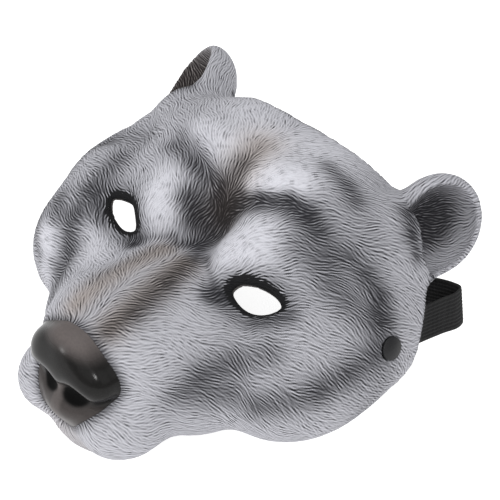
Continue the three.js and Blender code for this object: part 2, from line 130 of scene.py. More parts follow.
# The shell's edge, from the crown down one side to the middle of the lip; its back differs on the right.
EDGE = table(
    "name x y y_right z",
    ("crown", 0, 72, 72, 96),
    ("crown_side", 26, 74, 74, 93),
    ("ear_inner", 46, 79, 79, 78),
    ("ear_behind", 68, 76, 76, 66),
    ("ear_foot", 84, 60, 57, 60),
    ("strap_exit", 85, 40, 33, 42),
    ("jaw_back", 82, 36, 28, 24),
    ("heel", 79, 34, 26, -3),
    ("cheek_back", 74, 18, 14, -4),
    ("cheek_front", 60, -10, -10, -4),
    ("mouth_corner", 44, -33, -33, 6.2),
    ("lip_side", 31, -52, -52, 9),
    ("lip_front", 14, -62, -62, -4),
    ("lip_middle", 0, -66, -66, -4),
)
EDGE_SAMPLES = 400

# Each ear is a dish: a rounded body cut by a plane, with a smaller rounded body scooped out.
EAR = {
    "centre": (71, 75.5, 73),
    "faces": (0.58, -0.48, 0.66),
    "up": (0.02, 0.8, 0.6),
    "half_width": 19.0,
    "half_length": 23.0,
    "depth": 18.5,
    "lip": 5.0,
    "rounding": 4.0,
    "hollow_centre": (2, -1, 6),
    "hollow_size": (15.2, 20.5, 17),
    "foot_left": 1.0,
    "foot_right": 1.35,
    "overcut": 1.0,
    "root": 1.0,
    "hollow_fillet": 0.5,
    "blend": 8.0,
}

# Eye openings: almonds cut through the shell.
EYE = {
    "centre": (39.3, -0.8, 62.0),
    "faces": (0.0, -0.5, 0.86),
    "along": (0.93, 0.31, 0.0),
    "half_length": 11.0,
    "half_height": 5.2,
    "pinch": 0.42,
    "points": 48,
    "reach": 22.0,
}

RIVET = {
    "cap_radius": 5.0,
    "cap_edge": 0.8,
    "cap_rise": 1.2,
    "seat": 1.2,
    "seat_gap": 0.3,
    "post_radius": 2.0,
    "back_radius": 4.5,
    "strap_bow": 0.9,
    "back_thickness": 2.0,
    "rounding": 0.5,
    "bevel": 0.2,
    "post_set": 0.6,
    "hole_reach": 12.0,
    "dome": (0.1, 0.9, 8),
    "segments": 56,
}
RIVET_PLACES = table("side sign y z", ("left", 1, 23.5, 52.5), ("right", -1, 16, 46))

STRAP = {
    "width": 20.0,
    "thickness": 1.5,
    "clearance": 1.8,
    "steps": 170,
    "across": 61,
    "ribs": 10,
    "rib": 0.22,
    "round_from": 0.93,  # share of the half width where the edge starts to round off
    "edge": 0.15,  # share of the thickness left at the very edge
    "border": (9.2, 9.8),  # the woven border starts between these distances from the middle
}
STRAP_INSIDE = table("name back up", ("end", -11, 4), ("rivet", 0, 0), ("by_edge", 12, -5))
STRAP_BEHIND = table(
    "name x y z lean",
    ("past_edge", 83, 54, 36, 6),
    ("side", 86, 67, 34.5, 8),
    ("fold_start", 88, 76, 33, 10),
    ("fold", 87, 80, 33, 10),
    ("fold_end", 82, 79.5, 33, 8),
    ("back_turn", 70, 76, 32, 4),
    ("back_side", 44, 74, 28, 0),
    ("back_middle", 0, 73, 26, 0),
)
STRAP_DEPTH = WALL + STRAP["clearance"] + STRAP["thickness"] / 2


# Distances to the shapes. Points are rows of x, y, z.


def vec(row, *names):
    return np.array([row[name] for name in names], float)


def ellipsoid_distance(local, radii):
    scaled = np.linalg.norm(local / radii, axis=1)
    slope = np.linalg.norm(local / np.square(radii), axis=1)
    return scaled * (scaled - 1) / np.maximum(slope, 1e-9)


def mass_distance(points, mass):
    local = points - vec(mass, "x", "y", "z")
    turn = math.radians(mass["pitch"])
    if turn:
        cos, sin = math.cos(turn), math.sin(turn)
        y, z = local[:, 1].copy(), local[:, 2].copy()
        local[:, 1] = cos * y + sin * z
        local[:, 2] = cos * z - sin * y
    return ellipsoid_distance(local, vec(mass, "rx", "ry", "rz"))


def smooth_min(a, b, width):
    """The nearer of two distances, with a fillet of about the given width."""
    if width == 0:
        return np.minimum(a, b)
    h = np.maximum(width - np.abs(a - b), 0) / width
    return np.minimum(a, b) - h * h * width / 4


def smooth_max(a, b, width):
    return -smooth_min(-a, -b, width)


def on_one_side(points, softness=0.0):
    side = points.copy()
    side[:, 0] = np.hypot(points[:, 0], softness)
    return side


def masses_distance(points, masses):
    side = on_one_side(points, MIDLINE_SOFTNESS)
    distance = None
    for mass in masses:
        own = mass_distance(points if mass["x"] == 0 else side, mass)
        distance = own if distance is None else smooth_min(distance, own, mass["blend"])
    return distance


def by_name(rows):
    """Lists of the rows that share a name."""
    names = dict.fromkeys(row["name"] for row in rows)
    return [[row for row in rows if row["name"] == name] for name in names]


def bell(away, width):
    """One at no distance, fading smoothly over the width."""
    return np.exp(-np.square(away / width))


def segment_distance(points, start, end):
    along = end - start
    share = np.clip((points - start) @ along / (along @ along), 0, 1)
    return np.linalg.norm(points - start - share[:, None] * along, axis=1)


def run_strength(points, rows, column):
    """About the largest value of a column near runs with ends 1 and 2, fading over their width."""
    total = np.zeros(len(points))
    for row in rows:
        away = segment_distance(points, vec(row, "x1", "y1", "z1"), vec(row, "x2", "y2", "z2"))
        total += (row[column] * bell(away, row["width"])) ** 4
    return total**0.25


def spot_strength(points, spot):
    away = (points - vec(spot, "x", "y", "z")) / vec(spot, "rx", "ry", "rz")
    return np.exp(-np.square(away).sum(1))


def face_distance(points):
    """Signed distance to the outside of the face, without ears or holes."""
    distance = smooth_min(
        masses_distance(points, MASSES), masses_distance(points, NOSE_MASSES), NOSE_BLEND
    )
    side = on_one_side(points, MIDLINE_SOFTNESS)
    for spot in SPOTS:
        distance = distance - spot["height"] * spot_strength(points if spot["x"] == 0 else side, spot)
    for runs in by_name(FOLDS):
        distance = distance + run_strength(side, runs, "depth")
    return distance


def nose_margin(points):
    """Below zero on the nose, above zero on the fur round it, in about millimetres."""
    return masses_distance(points, NOSE_MASSES) - masses_distance(points, MASSES)


def smooth_curve(stops, shares):
    """Points of a centripetal Catmull-Rom curve through the stops, at shares of its length in stops."""
    stops = np.asarray(stops, float)
    stops = np.vstack([2 * stops[0] - stops[1], stops, 2 * stops[-1] - stops[-2]])
    place = np.asarray(shares, float) * (len(stops) - 3)
    first = np.clip(place.astype(int), 0, len(stops) - 4)
    t = (place - first)[:, None]
    p0, p1, p2, p3 = (stops[first + i] for i in range(4))
    d0, d1, d2 = (np.sqrt(np.linalg.norm(b - a, axis=1))[:, None] for a, b in ((p0, p1), (p1, p2), (p2, p3)))
    start = ((p1 - p0) / d0 - (p2 - p0) / (d0 + d1) + (p2 - p1) / d1) * d1
    end = ((p2 - p1) / d1 - (p3 - p1) / (d1 + d2) + (p3 - p2) / d2) * d1
    return (
        p1
        + start * t
        + (3 * (p2 - p1) - 2 * start - end) * t**2
        + (2 * (p1 - p2) + start + end) * t**3
    )


def unit(v):
    v = np.asarray(v, float)
    return v / np.linalg.norm(v, axis=-1, keepdims=True)


def axes(faces, up):
    """Rows x, y, z of a frame with z along faces and y as near up as it can be."""
    z = unit(faces)
    x = unit(np.cross(up, z))
    return np.array([x, np.cross(z, x), z])


POLE = unit(NOSE_TIP - HEART)
POLE_AXES = axes(POLE, (1.0, 0.0, 0.0))


def polar(points):
    """Turn about the nose axis, angle away from it and distance, seen from the heart."""
    local = (points - HEART) @ POLE_AXES.T
    reach = np.linalg.norm(local, axis=1)
    angle = np.arccos(np.clip(local[:, 2] / np.maximum(reach, 1e-9), -1, 1))
    return np.arctan2(local[:, 1], local[:, 0]), angle, reach


def edge_profile():
    shares = np.linspace(0, 1, EDGE_SAMPLES)
    left = smooth_curve([vec(row, "x", "y", "z") for row in EDGE], shares)
    right = smooth_curve([vec(row, "x", "y_right", "z") * (-1, 1, 1) for row in EDGE], shares)
    turn, angle, _ = polar(np.vstack([left, right]))
    order = np.argsort(turn)
    return turn[order], angle[order]


EDGE_TURN, EDGE_ANGLE = edge_profile()


def edge_distance(points):
    """Above zero beyond the shell's edge."""
    turn, angle, reach = polar(points)
    return (angle - np.interp(turn, EDGE_TURN, EDGE_ANGLE, period=2 * math.pi)) * reach


EAR_AXES = axes(EAR["faces"], EAR["up"])
EAR_OUTSIDE = np.array([EAR["half_width"], EAR["half_length"], EAR["depth"]])


def ear_local(points):
    """Places in an ear's own frame, with the half towards its foot drawn in to the plain length."""
    local = (on_one_side(points) - EAR["centre"]) @ EAR_AXES.T
    foot = np.where(points[:, 0] > 0, EAR["foot_left"], EAR["foot_right"])
    local[:, 1] /= np.where(local[:, 1] < 0, foot, 1.0)
    return local


def ear_distances(points, face):
    """Distance to the ear's cut body, which fills the root under the face, and to the hollow in it."""
    local = ear_local(points)
    above = local[:, 2] - EAR["lip"]
    cut = np.minimum(above, face + EAR["root"])
    body = smooth_max(ellipsoid_distance(local, EAR_OUTSIDE), cut, EAR["rounding"])
    hollow = ellipsoid_distance(local - EAR["hollow_centre"], np.array(EAR["hollow_size"]))
    return body, smooth_max(hollow, above - EAR["overcut"], EAR["hollow_fillet"])


EYE_AXES = axes(EYE["faces"], np.cross(EYE["faces"], EYE["along"]))


def eye_outline():
    turn = np.linspace(0, 2 * math.pi, EYE["points"], endpoint=False)
    height = np.sin(turn) * np.abs(np.sin(turn)) ** EYE["pinch"]
    return np.column_stack([EYE["half_length"] * np.cos(turn), EYE["half_height"] * height])


EYE_OUTLINE = eye_outline()


def eye_local(points):
    return (on_one_side(points) - EYE["centre"]) @ EYE_AXES.T


def outline_distance(flat, outline):
    """Signed distance in a plane to a closed outline, below zero inside."""
    best = np.full(len(flat), np.inf)
    inside = np.zeros(len(flat), bool)
    for a, b in zip(outline, np.roll(outline, -1, axis=0)):
        best = np.minimum(best, segment_distance(flat, a, b))
        if a[1] != b[1]:
            crosses = (flat[:, 1] < a[1]) != (flat[:, 1] < b[1])
            x = a[0] + (flat[:, 1] - a[1]) * (b[0] - a[0]) / (b[1] - a[1])
            inside ^= crosses & (flat[:, 0] < x)
    return np.where(inside, -best, best)


def eye_margin(points, reach=30.0):
    """Distance from the eye opening's edge in its own plane, below zero in the opening."""
    local = eye_local(points)
    margin = np.full(len(points), reach)
    near = (np.abs(local[:, 2]) < EYE["reach"]) & (np.linalg.norm(local[:, :2], axis=1) < reach)
    margin[near] = outline_distance(local[near, :2], EYE_OUTLINE)
    return margin


def wall_place(sign, y, z):
    """Points on a side wall at the given distances back and heights, with their outward normals."""
    y, z = np.broadcast_arrays(np.asarray(y, float), np.asarray(z, float))
    inside, outside = (np.full(y.shape, distance) for distance in WALL_SEARCH)

    def at(x):
        return np.column_stack([sign * x, y, z])

    for _ in range(HALVINGS):
        middle = (inside + outside) / 2
        out = face_distance(at(middle)) > 0
        outside = np.where(out, middle, outside)
        inside = np.where(out, inside, middle)
    points = at(inside)
    return points, slope(face_distance, points, NORMAL_STEP)


def slope(distance, points, step):
    """Unit gradient of a distance."""
    parts = []
    for axis in np.eye(3) * step:
        parts.append(distance(points + axis) - distance(points - axis))
    return unit(np.column_stack(parts))


def rivet_axes(place):
    point, normal = wall_place(place["sign"], [place["y"]], [place["z"]])
    return point[0], axes(normal[0], (0, 0, 1))


RIVET_FRAMES = {place["side"]: rivet_axes(place) for place in RIVET_PLACES}


def mask_distance(points):
    """Signed distance to the whole moulding."""
    face = face_distance(points)
    shell = smooth_max(face, -face - WALL, FILLETS["wall"])
    shell = smooth_max(shell, edge_distance(points), FILLETS["edge"])
    body, scoop = ear_distances(points, face)
    shell = smooth_max(smooth_min(shell, body, EAR["blend"]), -scoop, FILLETS["ear_hollow"])
    shell = smooth_max(shell, -eye_margin(points), FILLETS["eye"])
    for origin, own_axes in RIVET_FRAMES.values():
        local = (points - origin) @ own_axes.T
        away = np.hypot(local[:, 0], local[:, 1])
        away = away - RIVET["seat_gap"]
        seat = np.maximum(away - RIVET["cap_radius"], -RIVET["seat"] - local[:, 2])
        hole = np.maximum(away - RIVET["post_radius"], np.abs(local[:, 2]) - RIVET["hole_reach"])
        shell = smooth_max(shell, -np.minimum(seat, hole), FILLETS["rivet"])
    return smooth_max(shell, -points[:, 2], FILLETS["floor"])


# Meshing.


def surface_net(values, low, step):
    """Points and quads of the surface where a grid of values crosses zero."""
    inside = values < 0
    cells = tuple(n - 1 for n in values.shape)

    def corner(array, offset):
        return array[tuple(slice(o, o + n) for o, n in zip(offset, cells))]

    corners = [(i, j, k) for i in (0, 1) for j in (0, 1) for k in (0, 1)]
    count = sum(corner(inside, c).astype(np.int8) for c in corners)
    active = (count > 0) & (count < 8)
    place = np.argwhere(active)
    total = np.zeros((len(place), 3))
    crossings = np.zeros(len(place))
    for axis in range(3):
        for start in (c for c in corners if c[axis] == 0):
            end = tuple(1 if i == axis else c for i, c in enumerate(start))
            a, b = corner(values, start)[active], corner(values, end)[active]
            cut = (a < 0) != (b < 0)
            share = np.where(cut, a / np.where(cut, a - b, 1), 0)
            point = np.array(start) + share[:, None] * np.eye(3)[axis]
            total += np.where(cut[:, None], point, 0)
            crossings += cut
    points = low + (place + total / crossings[:, None]) * step
    index = np.full(cells, -1)
    index[active] = np.arange(len(place))
    quads = []
    for axis in range(3):
        u, v = (axis + 1) % 3, (axis + 2) % 3
        first = np.take(inside, range(values.shape[axis] - 1), axis)
        second = np.take(inside, range(1, values.shape[axis]), axis)
        for rising in (True, False):
            edges = np.argwhere((first & ~second) if rising else (~first & second))
            edges = edges[(edges[:, u] > 0) & (edges[:, v] > 0)]
            ring = []
            for du, dv in ((0, 0), (-1, 0), (-1, -1), (0, -1)):
                cell = edges.copy()
                cell[:, u] += du
                cell[:, v] += dv
                ring.append(index[tuple(cell.T)])
            quad = np.column_stack(ring)
            quads.append(quad if rising else quad[:, ::-1])
    return points, np.vstack(quads)


def shell_points():
    low, high = (np.array(corner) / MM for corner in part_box("mask_shell"))
    low = low + (0, MIDDLE_Y, 0) - MARGIN
    high = high + (0, MIDDLE_Y, 0) + MARGIN
    ticks = [np.arange(a, b, VOXEL) for a, b in zip(low, high)]
    grid = np.stack(np.meshgrid(*ticks, indexing="ij"), axis=-1)
    values = np.concatenate([mask_distance(slab.reshape(-1, 3)) for slab in grid])
    points, quads = surface_net(values.reshape(grid.shape[:3]), low, VOXEL)
    for _ in range(SNAPS):
        move = mask_distance(points)[:, None] * slope(mask_distance, points, SNAP_STEP)
        points = points - np.clip(move, -SNAP_MOST, SNAP_MOST)
    return points, quads


def to_part(points):
    """From the sculptor's millimetres to the part's metres."""
    return (np.asarray(points) - (0, MIDDLE_Y, 0)) * MM


def from_part(points):
    return np.asarray(points) / MM + (0, MIDDLE_Y, 0)


def mesh_object(name, points, faces):
    mesh = bpy.data.meshes.new(name)
    mesh.from_pydata(to_part(points).tolist(), [], [tuple(face) for face in faces])
    mesh.validate()
    mesh.shade_smooth()
    piece = bpy.data.objects.new(name, mesh)
    bpy.context.scene.collection.objects.link(piece)
    return piece


def read_points(mesh):
    flat = np.zeros(len(mesh.vertices) * 3, np.float32)
    mesh.vertices.foreach_get("co", flat)
    return from_part(flat.reshape(-1, 3).astype(float))


def read_normals(mesh):
    flat = np.zeros(len(mesh.vertices) * 3, np.float32)
    mesh.vertex_normals.foreach_get("vector", flat)
    return flat.reshape(-1, 3).astype(float)


def thin_inside(piece):
    """Thins out the triangles of the inside, which is plain, until the piece has few enough."""
    mesh = piece.data
    total = sum(len(p.vertices) - 2 for p in mesh.polygons)
    points = read_points(mesh)
    face = face_distance(points)
    plain = (face < -WALL / 2) & (ear_distances(points, face)[0] > THIN_CLEAR)
    group = piece.vertex_groups.new(name="inside")
    group.add(np.flatnonzero(plain).tolist(), 1.0, "REPLACE")
    thin = piece.modifiers.new("thin", "DECIMATE")
    thin.ratio = min(1.0, TRIANGLES / total)
    thin.vertex_group = group.name
    made = bpy.data.meshes.new_from_object(piece.evaluated_get(bpy.context.evaluated_depsgraph_get()))
    piece.modifiers.clear()
    piece.vertex_groups.clear()
    piece.data = made


def set_attribute(mesh, name, values):
    kind = "FLOAT" if np.ndim(values) == 1 else "FLOAT_VECTOR"
    field = "value" if kind == "FLOAT" else "vector"
    layer = mesh.attributes.new(name, kind, "POINT")
    layer.data.foreach_set(field, np.asarray(values, np.float32).ravel())


# The lie of the fur: directions combed at a few places, blended between them.
COMB_REACH = 16.0
COMBS = table(
    "name x y z dx dy dz",
    ("bridge_front", 7, -50, 68, 0.75, 0.65, 0),
    ("bridge_back", 7, -10, 64, 0.75, 0.65, 0.1),
    ("muzzle_side", 34, -48, 35, 0.6, 0.75, -0.25),
    ("lip", 20, -72, 14, 0.75, 0.4, -0.4),
    ("under_eye", 40, -18, 50, 0.65, 0.3, -0.6),
    ("cheek", 62, -8, 50, 0.65, 0.5, -0.5),
    ("cheek_low", 68, -6, 18, 0.5, 0.5, -0.7),
    ("lid", 25, 4, 72, 0.15, 1, 0.3),
    ("eye_corner", 58, 6, 66, 0.8, 0.4, -0.2),
    ("brow", 30, 32, 92, 0.72, 0.65, 0),
    ("brow_side", 58, 34, 84, 0.8, 0.5, -0.25),
    ("forehead", 8, 48, 96, 0.6, 0.8, 0),
    ("crown", 25, 70, 95, 0.65, 0.75, -0.1),
    ("temple", 76, 26, 66, 0.55, 0.1, -0.85),
    ("temple_back", 88, 36, 50, 0.2, 0.6, -0.75),
    ("ear_front", 60, 56, 86, 0.8, 0.35, 0.3),
)
PARTING = 6.0  # how far from the midline the fur turns to its own side
EAR_ROOT = np.array([58.0, 60.0, 72.0])
WAVE = 0.22  # how far the fur wavers from side to side
WAVES = table("x y z shift", (0.31, 0.17, 0.23, 0.0), (-0.19, 0.29, 0.13, 1.7))


def fur_directions(points, normals):
    side = on_one_side(points)
    flow = np.zeros_like(points)
    for comb in COMBS:
        away = np.linalg.norm(side - vec(comb, "x", "y", "z"), axis=1)
        weight = 1 / (1 + np.square(away / COMB_REACH)) ** 2
        flow += weight[:, None] * unit(vec(comb, "dx", "dy", "dz"))
    on_ear = ear_share(points)[:, None]
    flow = flow * (1 - on_ear) + unit(side - EAR_ROOT) * on_ear
    flow[:, 0] *= points[:, 0] / np.hypot(points[:, 0], PARTING)
    flow = unit(flow - normals * (flow * normals).sum(1, keepdims=True))
    across = np.cross(normals, flow)
    waver = sum(np.sin(points @ vec(wave, "x", "y", "z") + wave["shift"]) for wave in WAVES)
    return unit(flow + WAVE * waver[:, None] * across)


# Soft steps of the paint: each goes from zero at its first place to one at its second.
FADES = {
    "ear": (2.0, 0.3),
    "ear_above_face": (-1.0, 2.5),
    "ear_hollow": (2.0, 0.5),
    "ear_cup": (1.6, 0.2),
    "own_side": (-2.0, 2.0),
    "below_eye": (1.0, -3.0),
    "outside": (-1.4, -0.2),
    "fur_off_nose": (0.3, 2.5),
    "fur_off_eye": (1.5, 4.0),
    "eye_rim": (1.2, 0.4),
    "nose_top": (60.5, 67.0),
    "nose_low": (41.0, 36.0),
    "septum": (4.0, 2.0),
    "septum_top": (48.0, 43.0),
    "nostril": (1.15, 0.8),
    "nostril_slit": (0.8, 1.5),
}


def step_between(low, high, values):
    share = np.clip((values - low) / (high - low), 0, 1)
    return share * share * (3 - 2 * share)


def fade(name, values):
    return step_between(*FADES[name], values)


def ear_share(points):
    """One on the ear, zero on the face."""
    face = face_distance(points)
    body, _ = ear_distances(points, face)
    return fade("ear", body) * fade("ear_above_face", face)


# Paint: how much of the pale coat lies on the dark ground, raised by painted highlights and lowered along
# darkened runs, mostly airbrushed.
# Side is 1 for a run on the wearer's left only, -1 for the right only and 0 for both.
PALE = 0.55
# Painted highlights: the lid, brow ridge, crown, muzzle top and lip are painted paler where they face the
# light, and the far cheek and its edge on the side the light comes from; on raised parts this is partly also
# the coat's own paler paint.
LIGHTS = table(
    "name side x1 y1 z1 x2 y2 z2 width light",
    ("lid", 0, 26, 9, 78, 20, 5, 76, 12, 0.42),
    ("ridge", 1, 10, 31, 90, 26, 38, 95, 7, 0.6),
    ("ridge", -1, 14, 36, 94, 26, 38, 95, 7, 0.2),
    ("crown", 0, 6, 50, 97, 20, 60, 96, 16, 0.22),
    ("muzzle", 0, 24, -30, 62, 24, -52, 56, 14, 0.1),
    ("lip", 0, 8, -80, 20, 30, -70, 32, 14, 0.1),
    ("far_cheek", -1, 37, -22, 58, 44, -16, 58, 9, 0.25),
    ("far_edge", -1, 58, -32, 42, 66, -24, 50, 8, 0.7),
)
# Darkened runs: mostly the mask's own airbrushed dark paint in its furrow, folds and creases, which here also
# stands in for shade that the shallower relief does not cast; lid_side and jaw are painted shade on the sides
# turned from the light, and eye_under is painted shade below the eye.
SHADES = table(
    "name side x1 y1 z1 x2 y2 z2 width dark",
    ("furrow", 0, 0, 3, 64, 0, 15, 66, 5, 0.65),
    ("furrow", 0, 0, 15, 66, 0, 22, 75, 9, 0.85),
    ("furrow", 0, 0, 22, 75, 0, 34, 91, 7, 0.6),
    ("furrow", 0, 0, 34, 91, 0, 44, 97, 6, 0.3),
    ("bridge_side", 0, 1, 7, 64, 6, -2, 66, 4, 0.5),
    ("bridge_side", 1, 6, -2, 66, 10, -24, 70, 5, 0.65),
    ("bridge_side", 1, 10, -24, 70, 12, -45, 69, 6, 0.6),
    ("bridge_side", 1, 12, -45, 69, 10, -57, 67, 5, 0.55),
    ("bridge_side", -1, 6, -2, 66, 14, -40, 69, 5, 0.25),
    ("brow", 0, 1, 20, 71, 6, 25, 81, 6, 0.8),
    ("brow", 1, 6, 24, 79, 15, 26, 86, 5.5, 0.8),
    ("brow", 1, 15, 26, 86, 28, 30, 90, 5, 0.85),
    ("brow", 1, 28, 30, 90, 38, 32, 87, 6, 0.85),
    ("brow", 1, 38, 32, 87, 45, 31, 83, 6, 0.65),
    ("brow", 1, 45, 31, 83, 54, 30, 77, 7, 0.35),
    ("brow", -1, 6, 25, 81, 22, 26, 86, 6, 0.65),
    ("brow", -1, 22, 26, 86, 36, 29, 86, 7, 0.5),
    ("upper_brow", 1, 30, 53, 96, 42, 52, 93, 5, 0.5),
    ("upper_brow", 1, 42, 52, 93, 48, 50, 90, 6, 0.55),
    ("upper_brow", 1, 48, 50, 90, 64, 44, 78, 8, 0.2),
    ("temple_streaks", 1, 46, 38, 88, 62, 36, 76, 9, 0.15),
    ("temple", 1, 60, 34, 75, 68, 34, 71, 5, 0.45),
    ("temple", 1, 68, 34, 71, 77, 32, 66, 6, 0.62),
    ("temple", 1, 77, 32, 66, 83, 26, 61, 6, 0.6),
    ("temple", -1, 60, 34, 75, 80, 30, 64, 7, 0.3),
    ("cheek_band", 0, 83, 26, 61, 89, 16, 54, 7, 0.52),
    ("cheek_band", 0, 89, 16, 54, 86, 3, 50, 8, 0.55),
    ("cheek_band", 0, 86, 3, 50, 82, -11, 48, 7, 0.55),
    ("cheek_band", 0, 82, -11, 48, 66, -30, 42, 7, 0.55),
    ("muzzle_stripe", 0, 37, -46, 42, 42, -38, 48, 7, 0.5),
    ("muzzle_stripe", 0, 42, -38, 48, 49, -25, 51, 8, 0.55),
    ("muzzle_stripe", 0, 49, -25, 51, 60, -16, 58, 7, 0.4),
    ("muzzle_stripe", 0, 40, -42, 42, 52, -32, 42, 8, 0.5),
    ("jaw", 0, 92, 18, 42, 90, 8, 26, 10, 0.25),
    ("eye_front", 0, 22, -12, 62, 30, -6, 62, 4.5, 0.85),
    ("eye_under", 0, 46, -8, 61, 57, -1, 65, 5, 0.45),
    ("lid_crease", 0, 22, -8, 63, 10, 0, 67, 2.5, 0.45),
    ("lid_side", 1, 42, 22, 80, 52, 23, 76, 9, 0.42),
    ("lid_side", 1, 52, 23, 76, 61, 20, 72, 9, 0.42),
    ("lid_side", 1, 61, 20, 72, 70, 19, 69, 9, 0.42),
    ("lid_side", 1, 70, 19, 69, 78, 19, 66, 8, 0.38),
    ("roll_slit", 0, 64, 64, 81, 69, 60, 77, 5.5, 0.88),
    ("roll_slit", 0, 69, 60, 77, 74, 58, 69, 4, 0.75),
    ("far_lid", -1, 9, 12, 72, 14, 14, 77, 8, 0.8),
    ("far_band", -1, 51, -30, 44, 56, -14, 60, 7, 0.45),
    ("far_band", -1, 56, -14, 60, 61, -2, 65, 6, 0.48),
    ("far_band", -1, 61, -2, 65, 61, 17, 71, 7, 0.5),
    ("far_patch", -1, 67, -19, 55, 72, -10, 57, 6, 0.5),
)
WARM = table(
    "name side x1 y1 z1 x2 y2 z2 width warm",
    ("furrow", 0, 0, 20, 74, 0, 44, 97, 10, 0.8),
    ("bridge_side", 0, 6, -10, 68, 10, -56, 68, 7, 0.9),
    ("lip", 0, 0, -76, 14, 14, -70, 8, 12, 0.35),
)
EAR_SHADES = table(
    "sign x y outer inner dark warm",
    (1, -2, 2, 0.95, 0.3, 0.85, 0.1),
    (-1, 2, -8, 1.5, 0.9, 0.7, 0.8),
)
EYE_SHADE = {"below": 1.5, "ring": 4.0, "halo": 5.0, "dark": 0.35}  # below thins the black ring under the eye
EDGE_LINE = {"width": 1.4, "dark": 0.7}  # the dark line along the shell's edge
NOSE_FRINGE = {"width": 2.6, "dark": 0.6}  # the fur round the nose darkened, partly painted shade of the groove that runs round the nose
NOSE_LIGHT = {"sag": 0.1, "septum": 0.7, "low": 0.4}  # sag lets the pale top, partly painted sheen of the light above, hang lower at the sides
NOSTRIL = {"centre": (7.5, -75, 41), "size": (6.5, 7, 5)}


def painted(points, rows, column):
    """Strength of the runs of one name, each on its own side."""
    side = on_one_side(points)
    both = run_strength(side, [row for row in rows if row["side"] == 0], column)
    for sign in (-1, 1):
        one = run_strength(side, [row for row in rows if row["side"] == sign], column)
        both = np.maximum(both, one * fade("own_side", points[:, 0] * sign))
    return both


def ear_cups(points):
    """For each ear's row of shades, one in the dark middle of its hollow and zero at its rim."""
    _, scoop = ear_distances(points, face_distance(points))
    for row in EAR_SHADES:
        offset = ear_local(points)[:, :2] - vec(row, "x", "y")
        radius = np.hypot(offset[:, 0] / EAR["half_width"], offset[:, 1] / EAR["half_length"])
        cup = fade("ear_cup", scoop) * step_between(row["outer"], row["inner"], radius)
        yield row, cup * (points[:, 0] * row["sign"] > 0)


def eye_ring(points):
    """Distance from the eye opening, stretched below it so that the black ring is thin there."""
    under = fade("below_eye", eye_local(points)[:, 1])
    return eye_margin(points) * (1 + (EYE_SHADE["below"] - 1) * under)


def paint_tone(points):
    tone = np.full(len(points), PALE)
    for row in LIGHTS:
        tone += painted(points, [row], "light")
    for runs in by_name(SHADES):
        tone *= 1 - painted(points, runs, "dark")
    for row, cup in ear_cups(points):
        tone *= 1 - row["dark"] * cup
    halo = bell(np.maximum(eye_margin(points) - EYE_SHADE["ring"], 0), EYE_SHADE["halo"])
    fringe = bell(np.maximum(nose_margin(points), 0), NOSE_FRINGE["width"])
    line = bell(edge_distance(points), EDGE_LINE["width"]) * (1 - ear_share(points))
    tone *= 1 - EYE_SHADE["dark"] * halo
    tone *= 1 - NOSE_FRINGE["dark"] * fringe
    tone *= 1 - EDGE_LINE["dark"] * line
    return tone


def paint_warmth(points):
    warm = painted(points, WARM, "warm")
    for row, cup in ear_cups(points):
        warm = np.maximum(warm, row["warm"] * cup)
    return warm


def nose_light(points):
    """One on the pale top and low front of the nose, zero on its dark front and wings; the top's paleness is
    partly painted sheen of the light from above.
    """
    across = np.abs(points[:, 0])
    height = points[:, 2]
    top = fade("nose_top", height + NOSE_LIGHT["sag"] * across)
    septum = NOSE_LIGHT["septum"] * fade("septum", across) * fade("septum_top", height)
    low = NOSE_LIGHT["low"] * fade("nose_low", height)
    return np.maximum(top, np.maximum(septum, low))


def nostril_share(points):
    """One in the nostrils and the slits that lead out of them."""
    side = on_one_side(points)
    hole = np.linalg.norm((side - NOSTRIL["centre"]) / NOSTRIL["size"], axis=1)
    slit = run_strength(side, [fold for fold in FOLDS if fold["name"] == "nostril_slit"], "depth")
    return np.maximum(fade("nostril", hole), fade("nostril_slit", slit))


# Tufts: long low lenses raised on the coat, each lying along the fur.
TUFTS = 9000
TUFT_LENGTH = 5.5
TUFT_WIDTH = 1.5
TUFT_HEIGHT = 0.24
TUFT_SIZES = (0.7, 1.25)  # each tuft's size is a share of the plain one's


def tuft_heights(points, normals, flow, coat):
    chance = np.random.default_rng(SEED)
    tree = kdtree.KDTree(len(points))
    for i, point in enumerate(points):
        tree.insert(point, i)
    tree.balance()
    height = np.zeros(len(points))
    furry = np.flatnonzero(coat > 0.5)
    for centre in chance.choice(furry, TUFTS, replace=False):
        size = chance.uniform(*TUFT_SIZES)
        near = np.array([i for _, i, _ in tree.find_range(points[centre], TUFT_LENGTH * size)])
        offset = points[near] - points[centre]
        along = offset @ flow[centre] / (TUFT_LENGTH * size)
        across = offset @ np.cross(normals[centre], flow[centre]) / TUFT_WIDTH
        rise = np.maximum(1 - np.square(along), 0) * np.maximum(1 - np.square(across), 0)
        height[near] = np.maximum(height[near], TUFT_HEIGHT * size * rise)
    return height * coat


